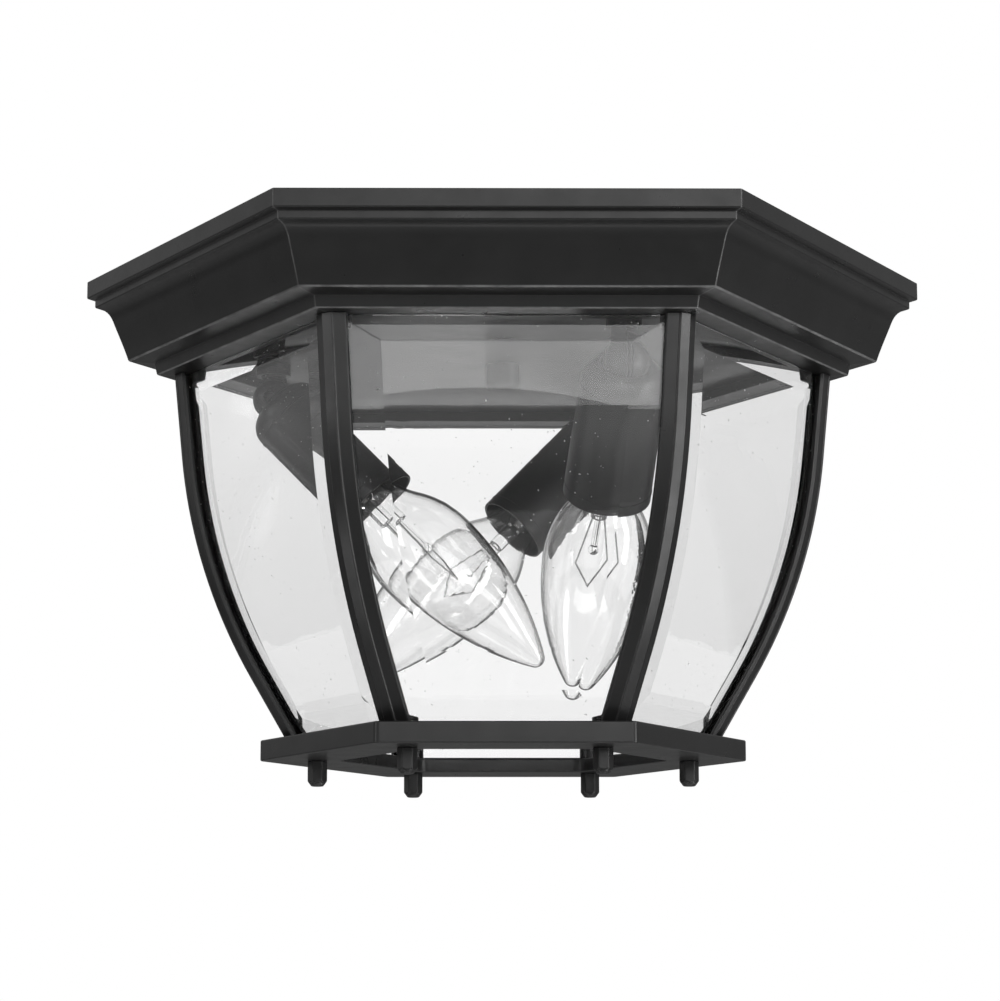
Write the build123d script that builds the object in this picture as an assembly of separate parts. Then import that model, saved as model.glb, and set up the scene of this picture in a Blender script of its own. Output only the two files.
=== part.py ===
from build123d import *
import math
import os

# Six-sided flush mount lantern with three swivelling candle lamps.
# Lengths are millimetres, angles are degrees.
# The origin is the centre of the ceiling plane, +Z is up, and one corner points along +X.

# Hexagon
SIDES = 6
HALF_SECTOR = 180 / SIDES
COS_HALF = math.cos(math.radians(HALF_SECTOR))
TAN_HALF = math.tan(math.radians(HALF_SECTOR))

# General clearances
SEAT_GAP = 0.2
THREAD_GAP = 0.1
RUNNING_GAP = 0.1

# Crown canopy, radii measured to the corners
CROWN_RADIUS = 152.4
FASCIA_HEIGHT = 6.3
FASCIA_ROUND = 0.7
STEP_INSET = 3.0
STEP_DROP = 1.8
STEP_HEIGHT = 1.6
BEAD_INSET = 4.1
BEAD_DROP = 1.9
COVE_INSET = 2.5
COVE_DROP = 3.0
SLOPE_INSET = 6.0
SLOPE_DROP = 15.1
SLOPE_HOLLOW = 0.5
SOFFIT_WIDTH = 9.5
SOFFIT_DROP = 0.9
STRIP_HEIGHT = 4.2
LIP_WIDTH = 25.3
LIP_THICKNESS = 3.8
CROWN_WALL = 2.6

# Socket plate
PLATE_THICKNESS = 1.5

# Ribs, depths measured inwards from the outer bead in the corner plane
RIB_INSET = 7.7
RIB_TOP_SLOPE = 5.75
RIB_BOTTOM_SLOPE = 30.0
RIB_STRAIGHT = 30.7
RIB_BEND = 201.0
BEAD_WIDTH = 4.1
BEAD_PROUD = 0.6
ARM_WIDTH = 6.7
ARM_THICKNESS = 1.3
SLOT_DEPTH = 5.7
INNER_ARM_WIDTH = 3.0
INNER_ARM_THICKNESS = 1.6
WEB_WIDTH = 2.4
TOP_LUG_RADIUS = 3.2
TOP_LUG_HEIGHT = 4.0
TOP_LUG_OFFSET = 2.0
FOOT_LUG_RADIUS = 3.8
FOOT_LUG_HEIGHT = 6.0

# Glass panels
GLASS_THICKNESS = 4.0
BEVEL_WIDTH = 15.0
BEVEL_DROP = 1.55
GLASS_EDGE_GAP = 0.4

# Bottom ring
CAGE_HEIGHT = 135.7
RING_MARGIN = 10.9
RING_FLOOR = 5.1
RING_RIM_HEIGHT = 2.4
RING_RIM_WIDTH = 2.6
RING_LAND = 7.2
RING_CORNER_ROUND = 2.5
RING_OPENING_ROUND = 6.0
RING_EDGE_ROUND = 0.6

# Hex nuts and studs under the ring
STUD_INSET = 9.9
STUD_RADIUS = 1.6
HEX_NUT_RADIUS = 3.6
HEX_NUT_HEIGHT = 9.0
HEX_NUT_TIP = 2.0
HEX_NUT_TIP_RADIUS = 2.1
STUD_ENGAGEMENT = 5.0

# Screws through plate and lip into the ribs
RIB_SCREW_RADIUS = 1.5
RIB_SCREW_HEAD_RADIUS = 2.9
RIB_SCREW_HEAD_HEIGHT = 2.0

# Strap, nipple and cap nut
STRAP_LENGTH = 116.0
STRAP_WIDTH = 22.0
STRAP_THICKNESS = 2.0
BOX_SLOT_SPACING = 88.9
BOX_SLOT_LENGTH = 14.0
BOX_SLOT_WIDTH = 4.8
NIPPLE_RADIUS = 4.9
NIPPLE_BORE = 3.3
LOCK_NUT_RADIUS = 8.0
LOCK_NUT_HEIGHT = 3.2
CAP_NUT_RADIUS = 6.4
CAP_NUT_HEIGHT = 9.6
CAP_NUT_DOME = 2.5
CAP_NUT_THREAD = 7.0
GROUND_SCREW_RADIUS = 1.9
GROUND_SCREW_HEAD_RADIUS = 3.8
GROUND_SCREW_HEAD_HEIGHT = 2.2
GROUND_SCREW_OFFSET = 22.0

# Lamp swivels, depths measured along the lamp from its pivot
LAMP_INSET = 20.6
LAMP_MOUNT_ANGLES = (180.0, -60.0, 60.0)
LAMP_HEADINGS = (-9.0, 99.7, 198.0)
LAMP_TILTS = (44.4, 42.3, 44.8)
PIVOT_DROP = 13.0
COLLAR_RADIUS = 6.2
COLLAR_HEIGHT = 4.4
NECK_RADIUS = 4.6
KNUCKLE_RADIUS = 7.5
KNUCKLE_GAP = 0.15
PIVOT_SCREW_RADIUS = 1.8
PIVOT_HEAD_RADIUS = 2.8
PIVOT_HEAD_HEIGHT = 1.4
PIVOT_HEAD_SEAT = 5.4
NIPPLE_ABOVE_PLATE = 9.0
STEM_RADIUS = 3.2
STEM_SHOULDER_RADIUS = 4.4
STEM_SHOULDER_START = 8.4

# Socket cups
CUP_RADIUS = 14.0
CUP_WALL = 1.0
CUP_MOUTH = 54.8
CUP_DOME_START = 1.6
CUP_DOME_END = 9.4
CUP_OPENING = 8.4
CUP_WEB_START = 11.6
CUP_WEB_THICKNESS = 1.4

# Lampholders
HOLDER_RADIUS = 10.6
HOLDER_BORE = 7.4
HOLDER_BASE = 7.0
HOLDER_LENGTH = 30.0
SHELL_RADIUS = 7.1
SHELL_WALL = 0.6
SHELL_FLANGE_RADIUS = 8.8
SHELL_FLANGE_THICKNESS = 0.8
CONTACT_RADIUS = 4.0
CONTACT_THICKNESS = 0.6
CONTACT_POST_RADIUS = 1.5
CONTACT_POST_HEIGHT = 3.0

# Candle bulbs
BASE_CONTACT_RADIUS = 2.4
BASE_CONTACT_HEIGHT = 2.2
BASE_RADIUS = 5.9
BASE_WALL = 0.6
BASE_LENGTH = 19.8
BASE_FLARE_HEIGHT = 2.0
BULB_RADIUS = 17.6
BULB_NECK_RADIUS = 7.6
BULB_OGIVE = 108.0
BULB_BELLY = 38.0
BULB_NECK_CURVE = 30.0
BULB_NOSE = 3.4
BULB_WALL = 0.8
STEM_GLASS_RADIUS = 2.8
STEM_GLASS_FLARE = 8.0
STEM_GLASS_LENGTH = 18.0
ROD_RADIUS = 1.2
ROD_LENGTH = 14.0
ROD_BEAD_RADIUS = 1.9
WIRE_RADIUS = 0.3
LEAD_SPREAD = 2.2
FILAMENT_SPREAD = 6.0
FILAMENT_RISE = 19.0
FILAMENT_DROP = 10.5
FILAMENT_TURNS = (80.0, 100.0, 0.0)

# Heights and radii worked out from the driving sizes
STEP_RADIUS = CROWN_RADIUS - STEP_INSET
STEP_TOP_Z = -FASCIA_HEIGHT - STEP_DROP
STEP_BOTTOM_Z = STEP_TOP_Z - STEP_HEIGHT
COVE_TOP_RADIUS = STEP_RADIUS - BEAD_INSET
COVE_TOP_Z = STEP_BOTTOM_Z - BEAD_DROP
SLOPE_TOP_RADIUS = COVE_TOP_RADIUS - COVE_INSET
SLOPE_TOP_Z = COVE_TOP_Z - COVE_DROP
SOFFIT_RADIUS = SLOPE_TOP_RADIUS - SLOPE_INSET
SOFFIT_Z = SLOPE_TOP_Z - SLOPE_DROP
STRIP_RADIUS = SOFFIT_RADIUS - SOFFIT_WIDTH
STRIP_TOP_Z = SOFFIT_Z - SOFFIT_DROP
LIP_BOTTOM_Z = STRIP_TOP_Z - STRIP_HEIGHT
LIP_TOP_Z = LIP_BOTTOM_Z + LIP_THICKNESS
LIP_RADIUS = STRIP_RADIUS - LIP_WIDTH
PLATE_TOP_Z = LIP_TOP_Z + PLATE_THICKNESS
FLOOR_Z = LIP_BOTTOM_Z - CAGE_HEIGHT
RING_BOTTOM_Z = FLOOR_Z - RING_FLOOR
RING_TOP_Z = FLOOR_Z + RING_RIM_HEIGHT

# The rib's outer line: straight, a long bend, straight again
RIB_TOP_RADIUS = STRIP_RADIUS - RIB_INSET
TOP_SLOPE = math.radians(RIB_TOP_SLOPE)
BOTTOM_SLOPE = math.radians(RIB_BOTTOM_SLOPE)
BEND_START_Z = LIP_BOTTOM_Z - RIB_STRAIGHT
BEND_START_RADIUS = RIB_TOP_RADIUS - RIB_STRAIGHT * math.tan(TOP_SLOPE)
BEND_CENTRE = (
    BEND_START_RADIUS - RIB_BEND * math.cos(TOP_SLOPE),
    BEND_START_Z + RIB_BEND * math.sin(TOP_SLOPE),
)

# Depths of the rib's layers in the corner plane
ARM_OUTER_DEPTH = BEAD_PROUD - BEAD_WIDTH / 2 * TAN_HALF
ARM_INNER_DEPTH = ARM_OUTER_DEPTH + ARM_THICKNESS / COS_HALF
INNER_ARM_DEPTH = ARM_INNER_DEPTH + SLOT_DEPTH
RIB_DEPTH = INNER_ARM_DEPTH + INNER_ARM_THICKNESS
GLASS_INNER_DEPTH = INNER_ARM_DEPTH - SEAT_GAP / COS_HALF
GLASS_OUTER_DEPTH = GLASS_INNER_DEPTH - GLASS_THICKNESS / COS_HALF
GLASS_EDGE_DEPTH = GLASS_OUTER_DEPTH + BEVEL_DROP / COS_HALF
GLASS_TOP_Z = LIP_BOTTOM_Z - SEAT_GAP
GLASS_BOTTOM_Z = FLOOR_Z + SEAT_GAP
GLASS_EDGE_SHIFT = WEB_WIDTH / 2 / COS_HALF + GLASS_EDGE_GAP

# Lamp stations along the lamp from its pivot
STEM_END = CUP_WEB_START + CUP_WEB_THICKNESS + HOLDER_BASE / 2
HOLDER_START = CUP_WEB_START + CUP_WEB_THICKNESS
HOLDER_FLOOR = HOLDER_START + HOLDER_BASE
HOLDER_END = HOLDER_START + HOLDER_LENGTH
SHELL_START = HOLDER_FLOOR + CONTACT_THICKNESS + SEAT_GAP
CONTACT_TIP = HOLDER_FLOOR + CONTACT_THICKNESS + CONTACT_POST_HEIGHT
BASE_START = CONTACT_TIP + SEAT_GAP
BASE_SHELL_START = BASE_START + BASE_CONTACT_HEIGHT
BASE_END = BASE_SHELL_START + BASE_LENGTH
STEM_GLASS_START = BASE_END + SEAT_GAP
STEM_GLASS_END = STEM_GLASS_START + STEM_GLASS_LENGTH
ROD_BEAD_CENTRE = STEM_GLASS_END + ROD_LENGTH
PLATE_BOTTOM_Z = LIP_TOP_Z
PIVOT_Z = PLATE_BOTTOM_Z - PIVOT_DROP
LAMP_CIRCLE = LIP_RADIUS - LAMP_INSET


def bend_point(depth, slope):
    """Point on the bend, that deep inside the rib's outer line, where it has that slope."""
    radius = RIB_BEND - depth
    return (
        BEND_CENTRE[0] + radius * math.cos(slope),
        BEND_CENTRE[1] - radius * math.sin(slope),
    )


def line_point(depth, slope, z):
    """Point at height z on the straight run that leaves the bend with that slope."""
    start = bend_point(depth, slope)
    return (start[0] + (z - start[1]) * math.tan(slope), z)


def band_points(outer_depth, inner_depth, top, bottom):
    """Corners and bend middles of a layer of the rib, outer line down, inner line up."""
    middle = (TOP_SLOPE + BOTTOM_SLOPE) / 2
    outer = [
        line_point(outer_depth, TOP_SLOPE, top),
        bend_point(outer_depth, TOP_SLOPE),
        bend_point(outer_depth, middle),
        bend_point(outer_depth, BOTTOM_SLOPE),
        line_point(outer_depth, BOTTOM_SLOPE, bottom),
    ]
    inner = [
        line_point(inner_depth, BOTTOM_SLOPE, bottom),
        bend_point(inner_depth, BOTTOM_SLOPE),
        bend_point(inner_depth, middle),
        bend_point(inner_depth, TOP_SLOPE),
        line_point(inner_depth, TOP_SLOPE, top),
    ]
    return outer + inner


def band_wire(points):
    """Closed wire through the ten points of a layer, already placed in space."""
    edges = []
    for first in (0, 5):
        run = points[first:first + 5]
        edges.append(Edge.make_line(run[0], run[1]))
        edges.append(Edge.make_three_point_arc(run[1], run[2], run[3]))
        edges.append(Edge.make_line(run[3], run[4]))
        edges.append(Edge.make_line(run[4], points[(first + 5) % 10]))
    return Wire(edges)


def band_face(outer_depth, inner_depth, top, bottom):
    """A layer of the rib as a face in the corner plane through +X."""
    points = band_points(outer_depth, inner_depth, top, bottom)
    return Face(band_wire([Vector(r, 0, z) for r, z in points]))


def around(piece, count=SIDES, start=0.0):
    """Copies of a piece, evenly spaced about the vertical axis."""
    return [Rot(0, 0, start + 360 / count * i) * piece for i in range(count)]


def cylinder_between(radius, bottom, top, x=0.0, y=0.0):
    """Upright cylinder from one height to another."""
    return Pos(x, y, bottom) * Cylinder(radius, top - bottom, align=(Align.CENTER, Align.CENTER, Align.MIN))


def hexagon_between(radius, bottom, top, x=0.0, y=0.0):
    """Upright hexagonal prism, with a corner towards +X."""
    return Pos(x, y, bottom) * extrude(RegularPolygon(radius, SIDES), top - bottom)


def turned(points):
    """Solid of revolution about Z from a closed outline of (radius, height) points."""
    outline = Polyline([(r, 0, z) for r, z in points], close=True)
    return revolve(make_face(outline), Axis.Z)


def make_crown():
    """Moulded ring with mitred corners, open above, with a flat lip turned in at the bottom."""
    flat = COS_HALF
    outer = [
        (CROWN_RADIUS, 0),
        (CROWN_RADIUS, -FASCIA_HEIGHT + FASCIA_ROUND),
        (CROWN_RADIUS - FASCIA_ROUND, -FASCIA_HEIGHT),
        (STEP_RADIUS, STEP_TOP_Z),
        (STEP_RADIUS, STEP_BOTTOM_Z),
        (COVE_TOP_RADIUS, COVE_TOP_Z),
        (SLOPE_TOP_RADIUS, SLOPE_TOP_Z),
        (SOFFIT_RADIUS, SOFFIT_Z),
        (STRIP_RADIUS, STRIP_TOP_Z),
        (STRIP_RADIUS, LIP_BOTTOM_Z),
        (LIP_RADIUS, LIP_BOTTOM_Z),
        (LIP_RADIUS, LIP_TOP_Z),
        (STRIP_RADIUS - CROWN_WALL, LIP_TOP_Z),
        (STRIP_RADIUS - CROWN_WALL, STRIP_TOP_Z + CROWN_WALL),
        (SOFFIT_RADIUS - CROWN_WALL, SOFFIT_Z + CROWN_WALL),
        (SLOPE_TOP_RADIUS - CROWN_WALL, SLOPE_TOP_Z),
        (COVE_TOP_RADIUS - CROWN_WALL, COVE_TOP_Z + CROWN_WALL / 2),
        (STEP_RADIUS - CROWN_WALL, STEP_TOP_Z + CROWN_WALL / 2),
        (CROWN_RADIUS - CROWN_WALL, -FASCIA_HEIGHT + CROWN_WALL / 2),
        (CROWN_RADIUS - CROWN_WALL, 0),
    ]
    points = [Vector(r * flat, 0, z) for r, z in outer]
    curved = {
        1: (CROWN_RADIUS - FASCIA_ROUND * 0.3, -FASCIA_HEIGHT + FASCIA_ROUND * 0.3),
        2: (STEP_RADIUS + STEP_INSET * 0.25, -FASCIA_HEIGHT - STEP_DROP * 0.4),
        5: (COVE_TOP_RADIUS - COVE_INSET * 0.7, COVE_TOP_Z - COVE_DROP * 0.3),
        6: (
            (SLOPE_TOP_RADIUS + SOFFIT_RADIUS) / 2 - SLOPE_HOLLOW,
            (SLOPE_TOP_Z + SOFFIT_Z) / 2,
        ),
    }
    edges = []
    for i, start in enumerate(points):
        end = points[(i + 1) % len(points)]
        if i in curved:
            middle = Vector(curved[i][0] * flat, 0, curved[i][1])
            edges.append(Edge.make_three_point_arc(start, middle, end))
        else:
            edges.append(Edge.make_line(start, end))
    reach = CROWN_RADIUS * 2
    bar = extrude(Face(Wire(edges)), CROWN_RADIUS, dir=(0, 1, 0), both=True)
    side = reach * TAN_HALF
    wedge = extrude(Polygon((0, 0), (reach, -side), (reach, side), align=None), -reach)
    sector = bar & wedge
    crown = Part() + around(sector, start=HALF_SECTOR)
    for hole in around(rib_screw_hole(LIP_BOTTOM_Z, LIP_TOP_Z)):
        crown -= hole
    return crown


def rib_screw_radius_from_centre():
    """Distance of the rib screws from the middle of the light."""
    return line_point(RIB_DEPTH, TOP_SLOPE, LIP_BOTTOM_Z)[0] - TOP_LUG_OFFSET


def rib_screw_hole(bottom, top):
    """Clearance hole for one rib screw, on the +X corner."""
    return cylinder_between(RIB_SCREW_RADIUS + THREAD_GAP, bottom, top, rib_screw_radius_from_centre())


def lamp_mounts():
    """Centres of the three lamp swivels on the socket plate."""
    places = []
    for angle in LAMP_MOUNT_ANGLES:
        turn = math.radians(angle)
        places.append((LAMP_CIRCLE * math.cos(turn), LAMP_CIRCLE * math.sin(turn)))
    return places


def make_socket_plate():
    """Flat hexagonal sheet on the lip, drilled for the nipples and the rib screws."""
    radius = STRIP_RADIUS - CROWN_WALL - SEAT_GAP / COS_HALF
    plate = hexagon_between(radius, PLATE_BOTTOM_Z, PLATE_TOP_Z)
    for x, y in lamp_mounts() + [(0.0, 0.0)]:
        plate -= cylinder_between(NIPPLE_RADIUS + SEAT_GAP, PLATE_BOTTOM_Z, PLATE_TOP_Z, x, y)
    for hole in around(rib_screw_hole(PLATE_BOTTOM_Z, PLATE_TOP_Z)):
        plate -= hole
    return plate


def make_rib():
    """Curved bar on the +X corner: flat bead, arms along both panes, web, and a lug at each end."""
    top = LIP_BOTTOM_Z
    bottom = FLOOR_Z
    along_panel = Vector(-math.sin(math.radians(HALF_SECTOR)), COS_HALF, 0)
    across = Vector(0, 1, 0)

    def layer(outer_depth, inner_depth, width):
        return extrude(band_face(outer_depth, inner_depth, top, bottom), width / 2, dir=across, both=True)

    def arm(outer_depth, inner_depth, width):
        return extrude(band_face(outer_depth, inner_depth, top, bottom), width, dir=along_panel)

    outer_arm = arm(ARM_OUTER_DEPTH, ARM_INNER_DEPTH, ARM_WIDTH) & layer(0, RIB_DEPTH, 2 * ARM_WIDTH)
    inner_arm = arm(INNER_ARM_DEPTH, RIB_DEPTH, INNER_ARM_WIDTH)
    rib = layer(0, ARM_INNER_DEPTH, BEAD_WIDTH)
    rib += layer(0, RIB_DEPTH, WEB_WIDTH)
    for side in (outer_arm, inner_arm):
        rib += side
        rib += mirror(side, Plane.XZ)
    slot_reach = 2 * max(TOP_LUG_RADIUS, FOOT_LUG_RADIUS) / COS_HALF
    slot = arm(ARM_INNER_DEPTH, INNER_ARM_DEPTH, slot_reach) - layer(0, RIB_DEPTH, WEB_WIDTH)
    screw_r = rib_screw_radius_from_centre()
    lugs = cylinder_between(TOP_LUG_RADIUS, top - TOP_LUG_HEIGHT, top, screw_r)
    lugs += cylinder_between(FOOT_LUG_RADIUS, bottom, bottom + FOOT_LUG_HEIGHT, stud_radius_from_centre())
    lugs -= slot
    lugs -= mirror(slot, Plane.XZ)
    rib += lugs
    rib -= rib_screw_hole(top - TOP_LUG_HEIGHT, top)
    rib -= cylinder_between(
        STUD_RADIUS + THREAD_GAP, bottom, bottom + STUD_ENGAGEMENT + SEAT_GAP, stud_radius_from_centre()
    )
    return rib


def make_glass_panel():
    """Bent pane between the +X corner and the next one, bevelled along all four edges."""
    slant = math.radians(HALF_SECTOR)
    along_panel = Vector(-math.sin(slant), math.cos(slant), 0)

    def section(depth, shift, far_side):
        points = []
        for r, z in band_points(depth, GLASS_INNER_DEPTH, GLASS_TOP_Z, GLASS_BOTTOM_Z):
            near = Vector(r, 0, z) + along_panel * shift
            points.append(near)
        if far_side:
            points = [
                Vector(
                    p.X * math.cos(2 * slant) + p.Y * math.sin(2 * slant),
                    p.X * math.sin(2 * slant) - p.Y * math.cos(2 * slant),
                    p.Z,
                )
                for p in points
            ]
        return band_wire(points)

    inner_shift = GLASS_EDGE_SHIFT + BEVEL_WIDTH
    pane = Solid.make_loft(
        [
            section(GLASS_EDGE_DEPTH, GLASS_EDGE_SHIFT, False),
            section(GLASS_OUTER_DEPTH, inner_shift, False),
            section(GLASS_OUTER_DEPTH, inner_shift, True),
            section(GLASS_EDGE_DEPTH, GLASS_EDGE_SHIFT, True),
        ],
        ruled=True,
    )
    for slope, edge_z, step in (
        (TOP_SLOPE, GLASS_TOP_Z, -BEVEL_WIDTH),
        (BOTTOM_SLOPE, GLASS_BOTTOM_Z, BEVEL_WIDTH * math.cos(BOTTOM_SLOPE)),
    ):
        pane = Part() + pane - Rot(0, 0, HALF_SECTOR) * bevel_cutter(slope, edge_z, step)
    return pane


def bevel_cutter(slope, edge_z, step):
    """Wedge that planes the bevel along a top or bottom edge of a pane lying across +X."""
    edge = Vector(line_point(GLASS_OUTER_DEPTH, slope, edge_z)[0] * COS_HALF, 0, edge_z)
    start = Vector(line_point(GLASS_OUTER_DEPTH, slope, edge_z + step)[0] * COS_HALF, 0, edge_z + step)
    run = (edge - start).normalized()
    outward = Vector(abs(run.Z), 0, run.X if run.Z < 0 else -run.X)
    thin = edge - outward * BEVEL_DROP
    beyond = thin + (thin - start) * 0.2
    reach = outward * GLASS_THICKNESS
    outline = Polyline([start, beyond, beyond + reach, start + reach], close=True)
    return extrude(make_face(outline), CROWN_RADIUS, dir=(0, 1, 0), both=True)


def stud_radius_from_centre():
    """Distance of the studs and hex nuts from the middle of the light."""
    return line_point(0, BOTTOM_SLOPE, FLOOR_Z)[0] - STUD_INSET


def make_bottom_ring():
    """Open hexagonal tray: flat floor with a large opening, and a low rim round the outside."""
    outer_radius = line_point(0, BOTTOM_SLOPE, FLOOR_Z)[0] + RING_MARGIN
    opening_radius = stud_radius_from_centre() - RING_LAND
    ring = hexagon_between(outer_radius, RING_BOTTOM_Z, RING_TOP_Z)
    ring = fillet(ring.edges().filter_by(Axis.Z), RING_CORNER_ROUND)
    ring = fillet(ring.faces().sort_by(Axis.Z)[0].edges(), RING_EDGE_ROUND)
    well = hexagon_between(outer_radius - RING_RIM_WIDTH / COS_HALF, FLOOR_Z, RING_TOP_Z)
    ring -= fillet(well.edges().filter_by(Axis.Z), RING_CORNER_ROUND / 2)
    opening = hexagon_between(opening_radius, RING_BOTTOM_Z, FLOOR_Z)
    ring -= fillet(opening.edges().filter_by(Axis.Z), RING_OPENING_ROUND)
    for hole in around(
        cylinder_between(STUD_RADIUS + SEAT_GAP, RING_BOTTOM_Z, FLOOR_Z, stud_radius_from_centre())
    ):
        ring -= hole
    return ring


def make_hex_nut():
    """Long hexagonal nut with a chamfered tip, under the +X corner of the ring."""
    tip_z = RING_BOTTOM_Z - HEX_NUT_HEIGHT
    place = stud_radius_from_centre()
    nut = hexagon_between(HEX_NUT_RADIUS, tip_z, RING_BOTTOM_Z, place)
    chamfer_z = tip_z + HEX_NUT_TIP
    envelope = cylinder_between(HEX_NUT_RADIUS, chamfer_z, RING_BOTTOM_Z, place)
    envelope += Pos(place, 0, tip_z) * Cone(
        HEX_NUT_TIP_RADIUS, HEX_NUT_RADIUS, HEX_NUT_TIP, align=(Align.CENTER, Align.CENTER, Align.MIN)
    )
    nut &= envelope
    bore_depth = STUD_ENGAGEMENT + SEAT_GAP
    nut -= cylinder_between(STUD_RADIUS + THREAD_GAP, RING_BOTTOM_Z - bore_depth, RING_BOTTOM_Z, place)
    return nut


def make_stud():
    """Threaded stud from the rib's foot through the ring into the hex nut."""
    return cylinder_between(
        STUD_RADIUS, RING_BOTTOM_Z - STUD_ENGAGEMENT, FLOOR_Z + STUD_ENGAGEMENT, stud_radius_from_centre()
    )


def make_rib_screw():
    """Screw with a flat round head on the plate, down into the rib's top lug."""
    place = rib_screw_radius_from_centre()
    screw = cylinder_between(RIB_SCREW_RADIUS, LIP_BOTTOM_Z - TOP_LUG_HEIGHT + SEAT_GAP, PLATE_TOP_Z, place)
    screw += cylinder_between(
        RIB_SCREW_HEAD_RADIUS, PLATE_TOP_Z, PLATE_TOP_Z + RIB_SCREW_HEAD_HEIGHT, place
    )
    return screw


def make_strap():
    """Flat ceiling bar with two box slots, a threaded middle hole and a ground screw hole."""
    strap = Pos(0, 0, -STRAP_THICKNESS) * extrude(
        RectangleRounded(STRAP_LENGTH, STRAP_WIDTH, STRAP_WIDTH / 4), STRAP_THICKNESS
    )
    for side in (-1, 1):
        slot = extrude(SlotOverall(BOX_SLOT_LENGTH, BOX_SLOT_WIDTH), STRAP_THICKNESS)
        strap -= Pos(side * BOX_SLOT_SPACING / 2, 0, -STRAP_THICKNESS) * slot
    strap -= cylinder_between(NIPPLE_RADIUS + THREAD_GAP, -STRAP_THICKNESS, 0)
    strap -= cylinder_between(GROUND_SCREW_RADIUS + THREAD_GAP, -STRAP_THICKNESS, 0, GROUND_SCREW_OFFSET)
    return strap


def make_mounting_nipple():
    """Threaded tube from the strap down through the plate into the cap nut."""
    bottom = PLATE_BOTTOM_Z - CAP_NUT_THREAD
    return cylinder_between(NIPPLE_RADIUS, bottom, 0) - cylinder_between(NIPPLE_BORE, bottom, 0)


def make_lock_nut(bottom, x, y):
    """Thin hexagonal nut on a nipple."""
    nut = hexagon_between(LOCK_NUT_RADIUS, bottom, bottom + LOCK_NUT_HEIGHT, x, y)
    return nut - cylinder_between(NIPPLE_RADIUS + THREAD_GAP, bottom, bottom + LOCK_NUT_HEIGHT, x, y)


def make_cap_nut():
    """Round cap nut with a domed end, under the middle of the plate."""
    bottom = PLATE_BOTTOM_Z - CAP_NUT_HEIGHT
    nut = cylinder_between(CAP_NUT_RADIUS, bottom, PLATE_BOTTOM_Z)
    nut = fillet(nut.edges().group_by(Axis.Z)[0], CAP_NUT_DOME)
    bore = cylinder_between(
        NIPPLE_RADIUS + THREAD_GAP, PLATE_BOTTOM_Z - CAP_NUT_THREAD - SEAT_GAP, PLATE_BOTTOM_Z
    )
    return nut - bore


def make_ground_screw():
    """Ground screw through the strap, head below."""
    screw = cylinder_between(
        GROUND_SCREW_RADIUS, -STRAP_THICKNESS, 0, GROUND_SCREW_OFFSET
    )
    screw += cylinder_between(
        GROUND_SCREW_HEAD_RADIUS,
        -STRAP_THICKNESS - GROUND_SCREW_HEAD_HEIGHT,
        -STRAP_THICKNESS,
        GROUND_SCREW_OFFSET,
    )
    return screw


def half_ball(side):
    """Half of the swivel's ball, split across local Y, on the plus or minus side."""
    size = 2 * KNUCKLE_RADIUS
    keep = Box(size, size, size, align=(Align.CENTER, Align.MIN, Align.CENTER))
    if side < 0:
        keep = mirror(keep, Plane.XZ)
    return Sphere(KNUCKLE_RADIUS) & Pos(0, side * KNUCKLE_GAP, 0) * keep


def pivot_bar(radius, near, far):
    """Round bar along local Y between two distances from the middle."""
    bar = Rot(90, 0, 0) * Cylinder(radius, far - near, align=(Align.CENTER, Align.CENTER, Align.MIN))
    return Pos(0, far, 0) * bar


def make_swivel_upper():
    """Fixed half of the swivel at its pivot: nipple, collar, neck and one half of the ball."""
    collar_top = PIVOT_DROP
    collar_bottom = collar_top - COLLAR_HEIGHT
    nipple_top = collar_top + PLATE_THICKNESS + NIPPLE_ABOVE_PLATE
    upper = cylinder_between(COLLAR_RADIUS, collar_bottom, collar_top)
    upper += cylinder_between(NIPPLE_RADIUS, collar_top, nipple_top)
    neck = cylinder_between(NECK_RADIUS, 0, collar_bottom)
    neck -= Pos(0, KNUCKLE_GAP, 0) * Box(
        4 * NECK_RADIUS,
        2 * NECK_RADIUS,
        2 * (KNUCKLE_RADIUS + SEAT_GAP),
        align=(Align.CENTER, Align.MAX, Align.CENTER),
    )
    upper += neck
    upper += half_ball(1)
    upper -= cylinder_between(NIPPLE_BORE, collar_bottom, nipple_top)
    upper -= pivot_bar(PIVOT_SCREW_RADIUS + THREAD_GAP, 0, PIVOT_HEAD_SEAT)
    upper -= pivot_bar(PIVOT_HEAD_RADIUS + SEAT_GAP, PIVOT_HEAD_SEAT, KNUCKLE_RADIUS)
    return upper


def make_swivel_lower():
    """Moving half of the swivel, hanging straight down: half of the ball, a bridge and a stem."""
    lower = half_ball(-1)
    bridge = Pos(0, -KNUCKLE_GAP, 0) * Box(
        2 * STEM_SHOULDER_RADIUS,
        STEM_SHOULDER_RADIUS,
        STEM_SHOULDER_START + SEAT_GAP,
        align=(Align.CENTER, Align.MAX, Align.MAX),
    )
    lower += bridge
    lower += cylinder_between(STEM_SHOULDER_RADIUS, -CUP_WEB_START, -STEM_SHOULDER_START)
    lower += cylinder_between(STEM_RADIUS, -STEM_END, -CUP_WEB_START)
    lower -= pivot_bar(PIVOT_SCREW_RADIUS + RUNNING_GAP, -KNUCKLE_RADIUS, 0)
    return lower


def make_pivot_screw():
    """Screw along the swivel's axis, its head sunk in the fixed half of the ball."""
    screw = pivot_bar(PIVOT_SCREW_RADIUS, -PIVOT_HEAD_SEAT, PIVOT_HEAD_SEAT)
    return screw + pivot_bar(PIVOT_HEAD_RADIUS, PIVOT_HEAD_SEAT, PIVOT_HEAD_SEAT + PIVOT_HEAD_HEIGHT)


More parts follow.
